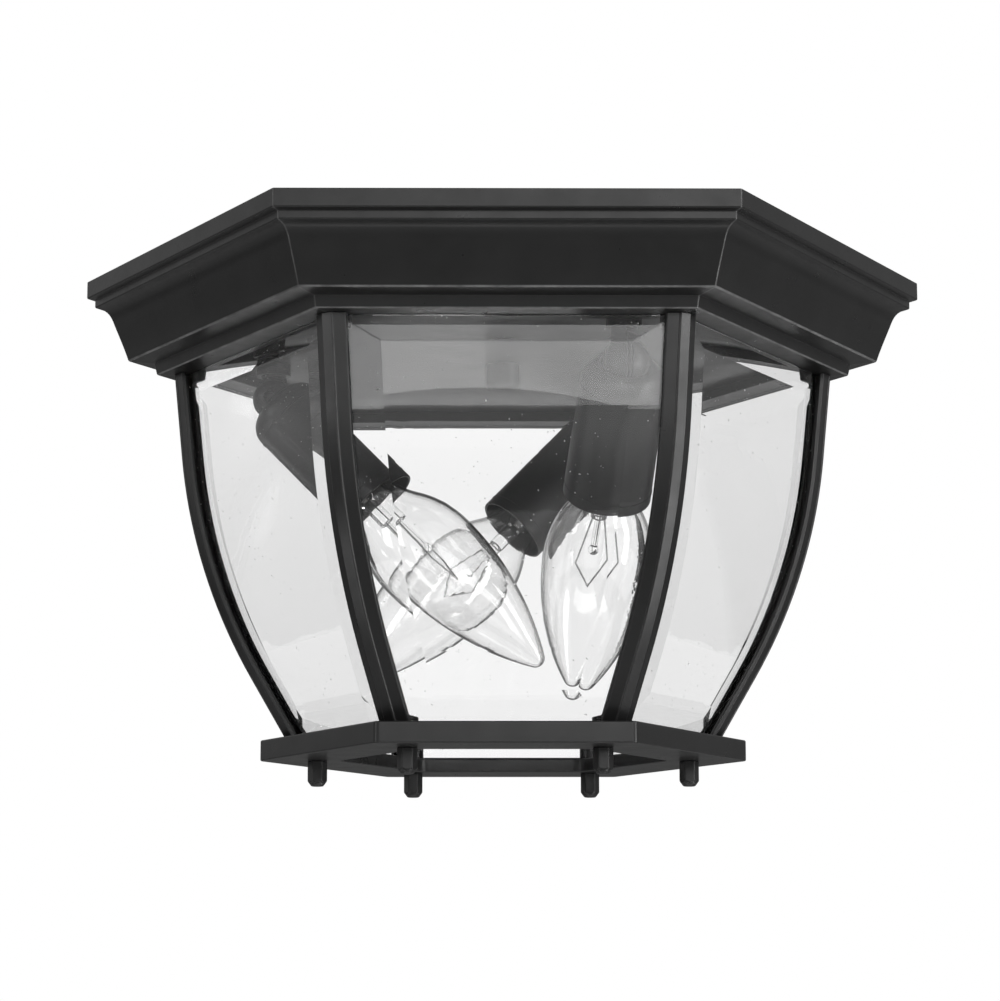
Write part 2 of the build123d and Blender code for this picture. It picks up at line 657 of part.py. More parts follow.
def make_socket_cup():
    """Domed cover of the lampholder, open below, with a web that the stem passes through."""
    inner = CUP_RADIUS - CUP_WALL
    web_end = CUP_WEB_START + CUP_WEB_THICKNESS
    hole = STEM_RADIUS + THREAD_GAP
    dome_r = CUP_OPENING + (CUP_RADIUS - CUP_OPENING) * 0.72
    dome_a = CUP_DOME_START + (CUP_DOME_END - CUP_DOME_START) * 0.3
    outline = Polyline(
        (CUP_RADIUS, 0, -CUP_DOME_END), (CUP_RADIUS, 0, -CUP_MOUTH), (inner, 0, -CUP_MOUTH),
        (inner, 0, -web_end), (hole, 0, -web_end), (hole, 0, -CUP_WEB_START),
        (inner, 0, -CUP_WEB_START), (inner, 0, -CUP_DOME_END),
    )
    outline += ThreePointArc(
        (inner, 0, -CUP_DOME_END),
        (dome_r - CUP_WALL * 0.7, 0, -dome_a - CUP_WALL * 0.7),
        (CUP_OPENING, 0, -CUP_DOME_START - CUP_WALL),
    )
    outline += Line((CUP_OPENING, 0, -CUP_DOME_START - CUP_WALL), (CUP_OPENING, 0, -CUP_DOME_START))
    outline += ThreePointArc(
        (CUP_OPENING, 0, -CUP_DOME_START), (dome_r, 0, -dome_a), (CUP_RADIUS, 0, -CUP_DOME_END)
    )
    return revolve(make_face(outline), Axis.Z)


def make_lampholder():
    """Insulating body on the stem, bored for the screw shell."""
    return turned([
        (STEM_RADIUS + THREAD_GAP, -HOLDER_START),
        (HOLDER_RADIUS, -HOLDER_START),
        (HOLDER_RADIUS, -HOLDER_END),
        (HOLDER_BORE, -HOLDER_END),
        (HOLDER_BORE, -HOLDER_FLOOR),
        (0, -HOLDER_FLOOR),
        (0, -STEM_END - SEAT_GAP),
        (STEM_RADIUS + THREAD_GAP, -STEM_END - SEAT_GAP),
    ])


def make_screw_shell():
    """Brass sleeve that takes the bulb's base, flanged over the holder's mouth."""
    inner = SHELL_RADIUS - SHELL_WALL
    return turned([
        (SHELL_RADIUS, -SHELL_START),
        (SHELL_RADIUS, -HOLDER_END),
        (SHELL_FLANGE_RADIUS, -HOLDER_END),
        (SHELL_FLANGE_RADIUS, -HOLDER_END - SHELL_FLANGE_THICKNESS),
        (inner, -HOLDER_END - SHELL_FLANGE_THICKNESS),
        (inner, -SHELL_START),
    ])


def make_centre_contact():
    """Contact plate on the holder's floor with a post towards the bulb."""
    return turned([
        (0, -HOLDER_FLOOR),
        (CONTACT_RADIUS, -HOLDER_FLOOR),
        (CONTACT_RADIUS, -HOLDER_FLOOR - CONTACT_THICKNESS),
        (CONTACT_POST_RADIUS, -HOLDER_FLOOR - CONTACT_THICKNESS),
        (CONTACT_POST_RADIUS, -CONTACT_TIP),
        (0, -CONTACT_TIP),
    ])


def make_bulb_base():
    """Screw base of the bulb: contact button, sleeve and a flare that carries the glass."""
    inner = BASE_RADIUS - BASE_WALL
    flare = BASE_END - BASE_FLARE_HEIGHT
    return turned([
        (0, -BASE_START),
        (BASE_CONTACT_RADIUS, -BASE_START),
        (BASE_RADIUS, -BASE_SHELL_START),
        (BASE_RADIUS, -flare),
        (BULB_NECK_RADIUS, -BASE_END),
        (BULB_NECK_RADIUS - BULB_WALL, -BASE_END),
        (inner, -flare),
        (inner, -BASE_SHELL_START - BASE_WALL),
        (0, -BASE_SHELL_START - BASE_WALL),
    ])


def bulb_solid(inset):
    """Candle-shaped solid of revolution, that far inside the bulb's outer surface."""
    swing = math.acos(1 - (BULB_RADIUS - BULB_NECK_RADIUS) / (BULB_BELLY + BULB_NECK_CURVE))
    widest = BASE_END + (BULB_BELLY + BULB_NECK_CURVE) * math.sin(swing)
    nose_run = math.sqrt((BULB_OGIVE - BULB_NOSE) ** 2 - (BULB_OGIVE - BULB_RADIUS) ** 2)
    nose = widest + nose_run
    turn = math.atan2(nose_run, BULB_OGIVE - BULB_RADIUS)

    def arc(centre_r, centre_a, radius, first, last):
        points = []
        for angle in (first, (first + last) / 2, last):
            reach = centre_r + radius * math.cos(angle)
            depth = centre_a + radius * math.sin(angle)
            points.append((max(reach, 0.0), 0, -depth))
        return ThreePointArc(*points)

    nose_arc = arc(0, nose, BULB_NOSE - inset, math.pi / 2, turn)
    ogive = arc(BULB_RADIUS - BULB_OGIVE, widest, BULB_OGIVE - inset, turn, 0)
    belly = arc(BULB_RADIUS - BULB_BELLY, widest, BULB_BELLY - inset, 0, -swing)
    neck = arc(
        BULB_NECK_RADIUS + BULB_NECK_CURVE, BASE_END, BULB_NECK_CURVE + inset, math.pi - swing, math.pi
    )
    tip = nose + BULB_NOSE - inset
    rim = BULB_NECK_RADIUS - inset
    closing = Polyline((rim, 0, -BASE_END), (0, 0, -BASE_END), (0, 0, -tip))
    return revolve(make_face(nose_arc + ogive + belly + neck + closing), Axis.Z)


def make_bulb_glass():
    """Thin clear envelope, open at its neck where it meets the base."""
    return bulb_solid(0) - bulb_solid(BULB_WALL)


def make_bulb_stem():
    """Glass stem: a flare in the neck, a narrow press and a rod with a bead."""
    flare_radius = BULB_NECK_RADIUS - BULB_WALL - SEAT_GAP
    bead = math.sqrt(ROD_BEAD_RADIUS ** 2 - ROD_RADIUS ** 2)
    outline = Polyline(
        (0, 0, -ROD_BEAD_CENTRE - ROD_BEAD_RADIUS), (0, 0, -STEM_GLASS_START),
        (flare_radius, 0, -STEM_GLASS_START),
        (STEM_GLASS_RADIUS, 0, -STEM_GLASS_START - STEM_GLASS_FLARE),
        (STEM_GLASS_RADIUS, 0, -STEM_GLASS_END), (ROD_RADIUS, 0, -STEM_GLASS_END),
        (ROD_RADIUS, 0, -ROD_BEAD_CENTRE + bead),
    )
    outline += ThreePointArc(
        (ROD_RADIUS, 0, -ROD_BEAD_CENTRE + bead),
        (ROD_BEAD_RADIUS, 0, -ROD_BEAD_CENTRE),
        (0, 0, -ROD_BEAD_CENTRE - ROD_BEAD_RADIUS),
    )
    return revolve(make_face(outline), Axis.Z)


def make_filament():
    """Two lead wires from the press, with the filament slung between them in a V."""
    foot = -STEM_GLASS_END - SEAT_GAP
    ends = foot - FILAMENT_RISE
    path = Polyline(
        (-LEAD_SPREAD, 0, foot), (-FILAMENT_SPREAD, 0, ends), (0, 0, ends - FILAMENT_DROP),
        (FILAMENT_SPREAD, 0, ends), (LEAD_SPREAD, 0, foot),
    )
    return sweep((path ^ 0) * Circle(WIRE_RADIUS), path, transition=Transition.RIGHT)


def write(name, shape):
    """Writes one named piece."""
    export_step(shape, os.path.join("parts", name + ".step"))


os.makedirs("parts", exist_ok=True)

write("crown_canopy", make_crown())
write("socket_plate", make_socket_plate())
write("bottom_ring", make_bottom_ring())
write("mounting_strap", make_strap())
write("mounting_nipple", make_mounting_nipple())
write("cap_nut", make_cap_nut())
write("ground_screw", make_ground_screw())
write("hex_nuts", Compound(children=around(make_hex_nut())))
write("cage_studs", Compound(children=around(make_stud())))
write("rib_screws", Compound(children=around(make_rib_screw())))

rib = make_rib()
for index, copy in enumerate(around(rib)):
    write(f"rib_{index + 1}", copy)

pane = make_glass_panel()
for index, copy in enumerate(around(pane)):
    write(f"glass_panel_{index + 1}", copy)

lock_nuts = [make_lock_nut(-STRAP_THICKNESS - LOCK_NUT_HEIGHT, 0, 0)]
for x, y in lamp_mounts():
    lock_nuts.append(make_lock_nut(PLATE_TOP_Z, x, y))
write("lock_nuts", Compound(children=lock_nuts))

moving = {
    "swivel_lower": make_swivel_lower(),
    "socket_cup": make_socket_cup(),
    "lampholder": make_lampholder(),
    "screw_shell": make_screw_shell(),
    "centre_contact": make_centre_contact(),
    "bulb_base": make_bulb_base(),
    "bulb_glass": make_bulb_glass(),
    "bulb_stem": make_bulb_stem(),
}
filament = make_filament()
pivot_screws = []
for index, (x, y) in enumerate(lamp_mounts()):
    upright = Pos(x, y, PIVOT_Z) * Rot(0, 0, LAMP_HEADINGS[index])
    tilted = upright * Rot(0, -LAMP_TILTS[index], 0)
    write(f"swivel_upper_{index + 1}", upright * make_swivel_upper())
    pivot_screws.append(upright * make_pivot_screw())
    for name, piece in moving.items():
        write(f"{name}_{index + 1}", tilted * piece)
    write(f"bulb_filament_{index + 1}", tilted * Rot(0, 0, FILAMENT_TURNS[index]) * filament)
write("pivot_screws", Compound(children=pivot_screws))
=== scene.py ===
import math
import bpy
from mathutils import Matrix, Vector


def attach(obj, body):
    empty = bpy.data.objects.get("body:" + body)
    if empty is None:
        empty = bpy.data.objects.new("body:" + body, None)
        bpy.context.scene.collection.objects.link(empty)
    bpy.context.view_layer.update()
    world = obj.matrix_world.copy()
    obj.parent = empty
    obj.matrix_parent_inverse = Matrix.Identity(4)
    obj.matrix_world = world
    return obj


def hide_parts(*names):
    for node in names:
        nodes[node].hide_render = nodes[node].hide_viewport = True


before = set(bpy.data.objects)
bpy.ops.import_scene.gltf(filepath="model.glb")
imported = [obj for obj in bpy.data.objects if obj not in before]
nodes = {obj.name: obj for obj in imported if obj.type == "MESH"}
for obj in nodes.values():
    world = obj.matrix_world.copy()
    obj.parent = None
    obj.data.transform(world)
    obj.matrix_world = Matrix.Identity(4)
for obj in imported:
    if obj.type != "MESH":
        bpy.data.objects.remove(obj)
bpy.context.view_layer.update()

scene = bpy.context.scene
scene.view_settings.view_transform = "Standard"

# A look through two panes and two bulbs crosses some 16 faces of glass.
GLASS_BOUNCES = 32
scene.cycles.max_bounces = GLASS_BOUNCES
scene.cycles.transmission_bounces = GLASS_BOUNCES

# Sizes of the object are written in millimetres, those of the studio in metres.
MM = 0.001


def add_object(name, data):
    """New object in the scene for a mesh, a lamp or a camera."""
    made = bpy.data.objects.new(name, data)
    scene.collection.objects.link(made)
    return made


def make_mesh(name, points, faces, material):
    mesh = bpy.data.meshes.new(name)
    mesh.from_pydata(points, [], faces)
    mesh.materials.append(material)
    return mesh


def closed_grid(rows, columns):
    """Faces of a grid of points that closes on itself both ways."""
    faces = []
    for i in range(rows):
        here = i * columns
        ahead = (i + 1) % rows * columns
        for j in range(columns):
            side = (j + 1) % columns
            faces.append((here + j, ahead + j, ahead + side, here + side))
    return faces


# The camera stands in front of the lantern, a little below it, and looks slightly up.
IMAGE_LONG_SIDE = 1001
FOCAL_PIXELS = 3075.66
SENSOR = 36.0
CLIP_NEAR = 0.01
CLIP_FAR = 50.0
CAMERA_PLACE = Vector((-12.67, -1100.72, -263.98)) * MM
CAMERA_LOOK = Vector((0.01036, 0.98642, 0.16396)).normalized()
CAMERA_ROLL = -0.001


def make_camera():
    data = bpy.data.cameras.new("camera")
    data.sensor_width = SENSOR
    data.lens = SENSOR * FOCAL_PIXELS / IMAGE_LONG_SIDE
    data.clip_start = CLIP_NEAR
    data.clip_end = CLIP_FAR
    camera = add_object("camera", data)
    side = CAMERA_LOOK.cross(Vector((0, 0, 1))).normalized()
    top = side.cross(CAMERA_LOOK)
    across = math.cos(CAMERA_ROLL) * side + math.sin(CAMERA_ROLL) * top
    upward = math.cos(CAMERA_ROLL) * top - math.sin(CAMERA_ROLL) * side
    turn = Matrix((across, upward, -CAMERA_LOOK)).transposed().to_4x4()
    camera.matrix_world = Matrix.Translation(CAMERA_PLACE) @ turn
    scene.camera = camera


make_camera()


# Kinds of noise: detail and roughness. The middle span of a noise is where most of it lies.
SMOOTH = (1.0, 0.3)
SPECKS = (1.0, 0.4)
EVEN = (2.0, 0.5)
BROKEN = (3.0, 0.6)
CLOTTED = (4.0, 0.6)
MIDDLE_SPAN = (0.3, 0.7)

# An edge is where the normal blurred over a small radius turns away from the face's own.
EDGE_REACH = 0.9 * MM
EDGE_SAMPLES = 6
EDGE_TURN = (0.995, 0.90)


class Tree:
    """Node tree of a new material, with short calls for the nodes used here."""

    def __init__(self, name):
        self.material = bpy.data.materials.new(name)
        self.material.use_nodes = True
        self.tree = self.material.node_tree
        self.shader = self.tree.nodes["Principled BSDF"]
        self.output = self.tree.nodes["Material Output"]
        self.place = self.add("ShaderNodeTexCoord").outputs["Object"]

    def add(self, kind):
        return self.tree.nodes.new(kind)

    def link(self, a, b):
        self.tree.links.new(a, b)

    def put(self, socket, value):
        if isinstance(value, bpy.types.NodeSocket):
            self.link(value, socket)
        else:
            socket.default_value = value

    def set(self, **values):
        for key, value in values.items():
            self.put(self.shader.inputs[key.replace("_", " ")], value)

    def noise(self, scale, kind):
        node = self.add("ShaderNodeTexNoise")
        detail, roughness = kind
        node.inputs["Scale"].default_value = scale
        node.inputs["Detail"].default_value = detail
        node.inputs["Roughness"].default_value = roughness
        self.link(self.place, node.inputs["Vector"])
        return node.outputs["Fac"]

    def ramp(self, value, low, high, to_low=0.0, to_high=1.0):
        node = self.add("ShaderNodeMapRange")
        node.clamp = True
        self.put(node.inputs["Value"], value)
        node.inputs["From Min"].default_value = low
        node.inputs["From Max"].default_value = high
        node.inputs["To Min"].default_value = to_low
        node.inputs["To Max"].default_value = to_high
        return node.outputs["Result"]

    def uneven(self, scale, low, high):
        """Level that wanders between two values."""
        return self.ramp(self.noise(scale, BROKEN), *MIDDLE_SPAN, low, high)

    def math(self, operation, a, b):
        node = self.add("ShaderNodeMath")
        node.operation = operation
        self.put(node.inputs[0], a)
        self.put(node.inputs[1], b)
        return node.outputs[0]

    def mix(self, share, a, b):
        node = self.add("ShaderNodeMix")
        node.data_type = "RGBA"
        self.put(node.inputs["Factor"], share)
        self.put(node.inputs["A"], a)
        self.put(node.inputs["B"], b)
        return node.outputs["Result"]

    def bump(self, height, depth, strength, below=None):
        node = self.add("ShaderNodeBump")
        node.inputs["Strength"].default_value = strength
        node.inputs["Distance"].default_value = depth * MM
        self.link(height, node.inputs["Height"])
        if below is not None:
            self.link(below, node.inputs["Normal"])
        return node.outputs["Normal"]

    def edges(self):
        """1 on edges and corners, 0 on open faces."""
        bevel = self.add("ShaderNodeBevel")
        bevel.samples = EDGE_SAMPLES
        bevel.inputs["Radius"].default_value = EDGE_REACH
        geometry = self.add("ShaderNodeNewGeometry")
        dot = self.add("ShaderNodeVectorMath")
        dot.operation = "DOT_PRODUCT"
        self.link(bevel.outputs["Normal"], dot.inputs[0])
        self.link(geometry.outputs["Normal"], dot.inputs[1])
        return self.ramp(dot.outputs["Value"], *EDGE_TURN)

    def marks(self, attribute):
        """What the mesh itself says at each point."""
        node = self.add("ShaderNodeAttribute")
        node.attribute_name = attribute
        return node.outputs["Fac"]


def grey(value, warm=0.0):
    return (value * (1 + warm), value, value * (1 - warm), 1.0)


def powder_coat(name, edge_mark=None):
    """Black coat, lighter on the edges that the mesh marks, or else on all its edges: wear and
    painted highlight.
    """
    t = Tree(name)
    if edge_mark is None:
        edge = t.edges()
        bare_and_highlight_grey = grey(0.10)
    else:
        edge = t.marks(edge_mark)
        bare_and_highlight_grey = grey(0.26)
    # Painted highlight: edges get a lighter grey, partly wear of the coat and partly the bright
    # lines that edges catch from the lamps.
    worn_and_lit = t.math("MULTIPLY", edge, t.uneven(scale=120, low=0.2, high=0.6))
    coat = t.mix(t.noise(scale=38, kind=BROKEN), grey(0.010), grey(0.016))
    peel = t.bump(t.noise(scale=420, kind=EVEN), depth=0.03, strength=0.35)
    grain = t.bump(t.noise(scale=1900, kind=BROKEN), depth=0.03, strength=0.5, below=peel)
    t.set(
        Base_Color=t.mix(worn_and_lit, coat, bare_and_highlight_grey),
        Roughness=t.uneven(scale=90, low=0.27, high=0.36),
        IOR=1.38,
        Normal=grain,
    )
    return t.material


def black_sheet():
    """Painted sheet, slightly wavy."""
    t = Tree("black_sheet")
    waves = t.bump(t.noise(scale=26, kind=EVEN), depth=0.2, strength=0.1)
    grain = t.bump(t.noise(scale=900, kind=EVEN), depth=0.004, strength=0.2, below=waves)
    t.set(
        Base_Color=t.mix(t.noise(scale=45, kind=BROKEN), grey(0.012), grey(0.02)),
        Roughness=t.uneven(scale=70, low=0.28, high=0.36),
        IOR=1.5,
        Normal=grain,
    )
    return t.material


def black_socket():
    """Black enamel of the cups and knuckles, with specks of dust."""
    t = Tree("black_socket")
    dust = t.ramp(t.noise(scale=700, kind=EVEN), low=0.70, high=0.76)
    enamel = t.mix(t.noise(scale=60, kind=BROKEN), grey(0.008), grey(0.014))
    t.set(
        Base_Color=t.mix(dust, enamel, grey(0.10)),
        Roughness=t.uneven(scale=120, low=0.34, high=0.42),
        IOR=1.42,
        Normal=t.bump(t.noise(scale=1500, kind=BROKEN), depth=0.01, strength=0.2),
    )
    return t.material


def panel_glass():
    """Clear glass, faintly wavy, with a few specks of dust that are dull and less clear."""
    t = Tree("panel_glass")
    dust = t.ramp(t.noise(scale=900, kind=SPECKS), low=0.765, high=0.80)
    t.set(
        Base_Color=t.mix(dust, grey(0.996), grey(0.85)),
        Roughness=t.ramp(dust, 0.0, 1.0, to_low=0.0, to_high=0.5),
        IOR=1.46,
        Transmission_Weight=t.ramp(dust, 0.0, 1.0, to_low=1.0, to_high=0.7),
        Normal=t.bump(t.noise(scale=14, kind=SMOOTH), depth=0.05, strength=0.2),
    )
    return t.material


def bulb_clear_glass():
    """Thin blown glass, tinted darker where it is seen edge on: painted shade for the dark
    outline of the bulb.
    """
    t = Tree("bulb_clear_glass")
    rim = t.add("ShaderNodeLayerWeight")
    rim.inputs["Blend"].default_value = 0.5
    # Painted shade: a dark tint at grazing angles stands in for the dark outline of the bulb.
    painted_edge_shade = t.ramp(rim.outputs["Facing"], low=0.80, high=0.99)
    t.set(
        Base_Color=t.mix(painted_edge_shade, grey(0.995), grey(0.30)),
        Roughness=0.0,
        IOR=1.47,
        Transmission_Weight=1.0,
        Normal=t.bump(t.noise(scale=60, kind=SMOOTH), depth=0.04, strength=0.2),
    )
    return t.material


METAL_DULLER = 1.2
METAL_BRIGHTER = 0.85


def metal(name, low, high, roughness):
    t = Tree(name)
    t.set(
        Base_Color=t.mix(t.noise(scale=150, kind=BROKEN), low, high),
        Metallic=1.0,
        Roughness=t.uneven(260, roughness * METAL_BRIGHTER, roughness * METAL_DULLER),
        Normal=t.bump(t.noise(scale=800, kind=EVEN), depth=0.01, strength=0.4),
    )
    return t.material


def holder_insulator():
    t = Tree("holder_insulator")
    brown, light_brown = (0.030, 0.022, 0.018, 1), (0.05, 0.038, 0.03, 1)
    t.set(
        Base_Color=t.mix(t.noise(scale=120, kind=CLOTTED), brown, light_brown),
        Roughness=t.uneven(scale=200, low=0.35, high=0.5),
        Normal=t.bump(t.noise(scale=700, kind=EVEN), depth=0.02, strength=0.4),
    )
    return t.material


def green_screw():
    t = Tree("green_screw")
    green, light_green = (0.01, 0.11, 0.03, 1), (0.02, 0.17, 0.05, 1)
    t.set(
        Base_Color=t.mix(t.noise(scale=300, kind=BROKEN), green, light_green),
        Metallic=0.6,
        Roughness=t.uneven(scale=400, low=0.28, high=0.4),
        Normal=t.bump(t.noise(scale=900, kind=EVEN), depth=0.01, strength=0.4),
    )
    return t.material


# Mesh mark for the crown's lighter edges: wear and painted highlight.
EDGE_MARK = "worn_and_lit_edge"
COAT = powder_coat("black_powder_coat")
CROWN_COAT = powder_coat("black_crown_coat", EDGE_MARK)
SHEET = black_sheet()
SOCKET = black_socket()
PANE = panel_glass()
BULB = bulb_clear_glass()
ZINC = metal("zinc_steel", grey(0.42), grey(0.58, -0.03), roughness=0.32)
BRASS = metal("contact_brass", (0.60, 0.42, 0.16, 1), (0.75, 0.55, 0.24, 1), roughness=0.25)
NICKEL = metal("base_metal", grey(0.60), grey(0.74, 0.02), roughness=0.2)
TUNGSTEN = metal("tungsten", grey(0.28), grey(0.5), roughness=0.3)
INSULATOR = holder_insulator()
GREEN = green_screw()

# In these two tables a node takes the first row that its name starts with.
FINISHES = (
    ("crown_canopy", COAT),
    ("bottom_ring", COAT),
    ("rib_screws", ZINC),
    ("rib_", COAT),
    ("hex_nuts", COAT),
    ("cap_nut", COAT),
    ("socket_plate", SHEET),
    ("swivel_", SOCKET),
    ("socket_cup", SOCKET),
    ("pivot_screws", SOCKET),
    ("glass_panel", PANE),
    ("bulb_glass", BULB),
    ("bulb_stem", BULB),
    ("bulb_filament", TUNGSTEN),
    ("bulb_base", NICKEL),
    ("screw_shell", BRASS),
    ("centre_contact", BRASS),
    ("lampholder", INSULATOR),
    ("ground_screw", GREEN),
    ("mounting_", ZINC),
    ("lock_nuts", ZINC),
    ("cage_studs", ZINC),
)

# Cast and turned pieces have slightly rounded edges, which catch the light.
EDGE_RADII = (
    ("bottom_ring", 0.6),
    ("rib_screws", 0.0),
    ("rib_", 0.35),
    ("hex_nuts", 0.4),
    ("cap_nut", 0.5),
    ("socket_cup", 0.4),
    ("swivel_", 0.3),
    ("", 0.0),
)
EDGE_ANGLE = math.radians(28)
FLAT_ANGLE = math.radians(0.4)
EDGE_SEGMENTS = 3
WELD_REACH = 0.005
FLAT_FACE_WEIGHT = 80


def first_match(table, name):
    return next(value for start, value in table if name.startswith(start))


def even_shading(piece):
    """Let the large flat faces set the shading at their edges."""
    piece.modifiers.new("even_shading", "WEIGHTED_NORMAL").weight = FLAT_FACE_WEIGHT


def round_edges(node, radius):
    weld = node.modifiers.new("weld", "WELD")
    weld.merge_threshold = WELD_REACH * MM
    merge = node.modifiers.new("merge_flat_faces", "DECIMATE")
    merge.decimate_type = "DISSOLVE"
    merge.angle_limit = FLAT_ANGLE
    bevel = node.modifiers.new("round_edges", "BEVEL")
    bevel.width = radius * MM
    bevel.segments = EDGE_SEGMENTS
    bevel.limit_method = "ANGLE"
    bevel.angle_limit = EDGE_ANGLE
    bevel.use_clamp_overlap = False
    even_shading(node)


for name, node in nodes.items():
    node.data.materials.clear()
    node.data.materials.append(first_match(FINISHES, name))
    edge_radius = first_match(EDGE_RADII, name)
    if edge_radius:
        round_edges(node, edge_radius)


# The crown is one moulded profile carried round six corners, with its edges eased.
# Each row: distance of the corner from the middle, height, and how far the edge is rounded.
CROWN_FACE = (
    (152.4, 0.0, 0.3),
    (152.4, -6.3, 0.45),
    (149.4, -6.9, 0.3),
    (149.4, -9.7, 0.45),
)
CROWN_FOOT = (
    (136.8, -29.7, 0.7),
    (127.3, -30.6, 0.3),
    (126.3, -34.8, 0.6),
    (102.0, -34.8, 0.4),
    (102.0, -31.0, 0.4),
    (124.7, -31.0, 0.0),
    (124.7, -28.0, 0.0),
    (134.2, -27.1, 0.0),
    (140.2, -14.6, 0.0),
    (142.7, -10.3, 0.0),
    (146.8, -6.8, 0.0),
    (149.8, -5.0, 0.0),
    (149.8, 0.0, 0.3),
)
# Between face and foot run two smooth curves, each given by four control points.
CROWN_COVE = ((147.6, -10.15), (145.0, -10.9), (143.6, -12.4), (142.2, -16.2))
CROWN_SLOPE = ((142.2, -16.2), (140.3, -20.8), (138.2, -25.4), (136.8, -29.7))
CORNERS = 6
HALF_CORNER = math.radians(30)
CORNER_ROUND = 0.8
# The rounded vertical corners get half of the lighter edge colour: wear and painted highlight.
CORNER_WEAR_AND_HIGHLIGHT = 0.5
ROUND_STEPS = 4
CURVE_STEPS = 10
# Edges rounded at least this far are drawn lighter: wear and painted highlight.
WORN_AND_LIT_ROUND = 0.5


def bezier(corners, share):
    """Point on the smooth curve of some control points."""
    points = [Vector(corner) for corner in corners]
    while len(points) > 1:
        points = [a.lerp(b, share) for a, b in zip(points, points[1:])]
    return points[0]


def crown_profile():
    """Closed outline of the moulding, square to one face, with the wear and painted highlight
    of each point.
    """
    rows = list(CROWN_FACE)
    for curve in (CROWN_COVE, CROWN_SLOPE):
        rows += [(*bezier(curve, step / CURVE_STEPS), 0.0) for step in range(CURVE_STEPS)]
    rows += CROWN_FOOT
    flat = math.cos(HALF_CORNER)
    corners = [Vector((radius * flat, height)) for radius, height, _ in rows]
    outline = []
    for i, corner in enumerate(corners):
        reach = rows[i][2]
        if not reach:
            outline.append((corner, 0.0))
            continue
        before = corners[i - 1] - corner
        after = corners[(i + 1) % len(corners)] - corner
        start = corner + before.normalized() * reach
        end = corner + after.normalized() * reach
        for step in range(ROUND_STEPS + 1):
            # Points inside a well rounded edge are marked for wear and painted highlight.
            worn_and_lit = float(reach >= WORN_AND_LIT_ROUND and 0 < step < ROUND_STEPS)
            outline.append((bezier((start, corner, end), step / ROUND_STEPS), worn_and_lit))
    return outline


def make_crown():
    flat = math.cos(HALF_CORNER)
    outline = crown_profile()
    points = []
    wear_and_highlight = []
    for point, worn_and_lit in outline:
        middle = (point.x - CORNER_ROUND) / flat
        for k in range(CORNERS):
            turn = 2 * HALF_CORNER * k
            for step in range(ROUND_STEPS):
                lean = turn + HALF_CORNER * (2 * step / (ROUND_STEPS - 1) - 1)
                x = middle * math.cos(turn) + CORNER_ROUND * math.cos(lean)
                y = middle * math.sin(turn) + CORNER_ROUND * math.sin(lean)
                points.append((x * MM, y * MM, point.y * MM))
                # Each point keeps its mark for wear and painted highlight, on edges and on the
                # rounded corners.
                wear_and_highlight.append(max(worn_and_lit, CORNER_WEAR_AND_HIGHLIGHT * (0 < step < ROUND_STEPS - 1)))
    faces = closed_grid(len(outline), CORNERS * ROUND_STEPS)
    mesh = make_mesh("crown_moulding", points, faces, CROWN_COAT)
    mesh.attributes.new(EDGE_MARK, "FLOAT", "POINT").data.foreach_set("value", wear_and_highlight)
    mesh.shade_smooth()
    crown = add_object("crown_moulding", mesh)
    even_shading(crown)
    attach(crown, "lantern")
    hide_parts("crown_canopy")


make_crown()


# The bevel along the top edge of a pane is narrower than those along its sides.
# Its inner line is raised along the glass, which leans out towards the top.
BEVEL_LINE = -50.0
BEVEL_RAISE = 6.5
PANE_LEAN = 0.1
TOP_EDGE = -35.0
NEAR = 0.05


def points_at(mesh, height):
    """Numbers of the points of a mesh that lie at a height."""
    return {v.index for v in mesh.vertices if abs(v.co.z / MM - height) < NEAR}


def make_pane(name, node):
    """Copy of a pane with a narrower top bevel."""
    mesh = node.data.copy()
    mesh.name = name
    middle = sum((vertex.co for vertex in mesh.vertices), Vector()) / len(mesh.vertices)
    outward = Vector((middle.x, middle.y, 0)).normalized()
    across = Vector((-outward.y, outward.x, 0))
    normals = [corner.vector.copy() for corner in mesh.corner_normals]
    line = points_at(mesh, BEVEL_LINE)
    top = points_at(mesh, TOP_EDGE)
    out = BEVEL_RAISE * PANE_LEAN
    raised = Vector((0, 0, BEVEL_RAISE))
    for index in line:
        vertex = mesh.vertices[index]
        side = math.copysign(math.tan(HALF_CORNER), vertex.co.dot(across))
        vertex.co += (outward * out + across * side * out + raised) * MM
    mesh.update()
    # The bevel's own faces have turned; all others keep the shading that they had.
    for face in mesh.polygons:
        corners = set(face.vertices)
        if corners & line and corners <= line | top:
            for loop in face.loop_indices:
                normals[loop] = face.normal.copy()
    mesh.normals_split_custom_set(normals)
    pane = add_object(name, mesh)
    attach(pane, "lantern")
    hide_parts(node.name)


for k in range(1, CORNERS + 1):
    make_pane(f"bent_pane_{k}", nodes[f"glass_panel_{k}"])


# Each lamp cup has a rolled bead near its mouth and another where its dome begins.
# Each bead: name, distance along the cup from the swivel, and how far it stands out.
CUP_BEADS = (("dome_bead", 9.8, 0.3), ("mouth_bead", 50.6, 0.16))
CUP_RADIUS = 14.0
BEAD_TURNS = 64
BEAD_SIDES = 10
# Where the three swivels are and which way the lamps point at rest, in degrees.
LAMP_CIRCLE = 81.4
PIVOT_HEIGHT = -44.0
LAMP_MOUNTS = (180.0, -60.0, 60.0)
LAMP_HEADINGS = (-9.0, 99.7, 198.0)
LAMP_TILTS = (44.4, 42.3, 44.8)


